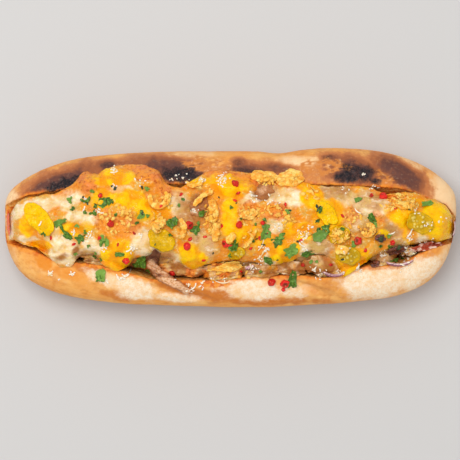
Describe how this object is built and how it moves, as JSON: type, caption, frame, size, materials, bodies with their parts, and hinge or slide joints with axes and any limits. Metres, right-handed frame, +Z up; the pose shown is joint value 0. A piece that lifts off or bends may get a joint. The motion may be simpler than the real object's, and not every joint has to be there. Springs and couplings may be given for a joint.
{
  "type": "hot dog",
  "caption": "Long split bread roll filled with a sausage under melted cheese, topped with fried onions, pickle slices, bacon and herbs.",
  "frame": {"origin": "middle of the footprint, on the surface the roll rests on", "axes": "+X along the roll, +Y to its far side, +Z up"},
  "size_m": [0.24, 0.0848, 0.06],
  "materials": {
    "crust": "baked crust, matt, golden brown with pale floured patches and charred spots",
    "sausage": "grilled skin, satin",
    "cheese": "melted yellow and white cheese, soft gloss, browned in places",
    "pickle": "wet pickled slice, glossy",
    "bacon": "fried bacon, satin",
    "fried_onion": "crisp fried onion, matt and crumbly",
    "red_onion": "raw red onion, satin",
    "browned_onion": "dark browned onion, satin",
    "herb": "chopped green herbs, matt",
    "peppercorn": "pink peppercorns, satin skin",
    "sauce": "thin red-brown sauce, glossy"
  },
  "bodies": {
    "root": {"bacon_piece_1": "bacon", "bacon_piece_2": "bacon", "bacon_rasher": "bacon", "bread_roll": "crust", "browned_onion_1": "browned_onion", "browned_onion_2": "browned_onion", "browned_onion_3": "browned_onion", "fried_onion_01": "fried_onion", "fried_onion_02": "fried_onion", "fried_onion_03": "fried_onion", "fried_onion_04": "fried_onion", "fried_onion_05": "fried_onion", "fried_onion_06": "fried_onion", "fried_onion_07": "fried_onion", "fried_onion_08": "fried_onion", "fried_onion_09": "fried_onion", "fried_onion_10": "fried_onion", "fried_onion_11": "fried_onion", "fried_onion_12": "fried_onion", "fried_onion_13": "fried_onion", "fried_onion_14": "fried_onion", "fried_onion_15": "fried_onion", "melted_cheese": "cheese", "onion_chip": "fried_onion", "pickle_slice_1": "pickle", "pickle_slice_2": "pickle", "pickle_slice_3": "pickle", "pickle_slice_4": "pickle", "pickle_slice_5": "pickle", "pickle_slice_6": "pickle", "pickle_slice_7": "pickle", "red_onion_1": "red_onion", "red_onion_2": "red_onion", "red_onion_3": "red_onion", "red_onion_4": "red_onion", "sausage": "sausage"}
  },
  "joints": []
}
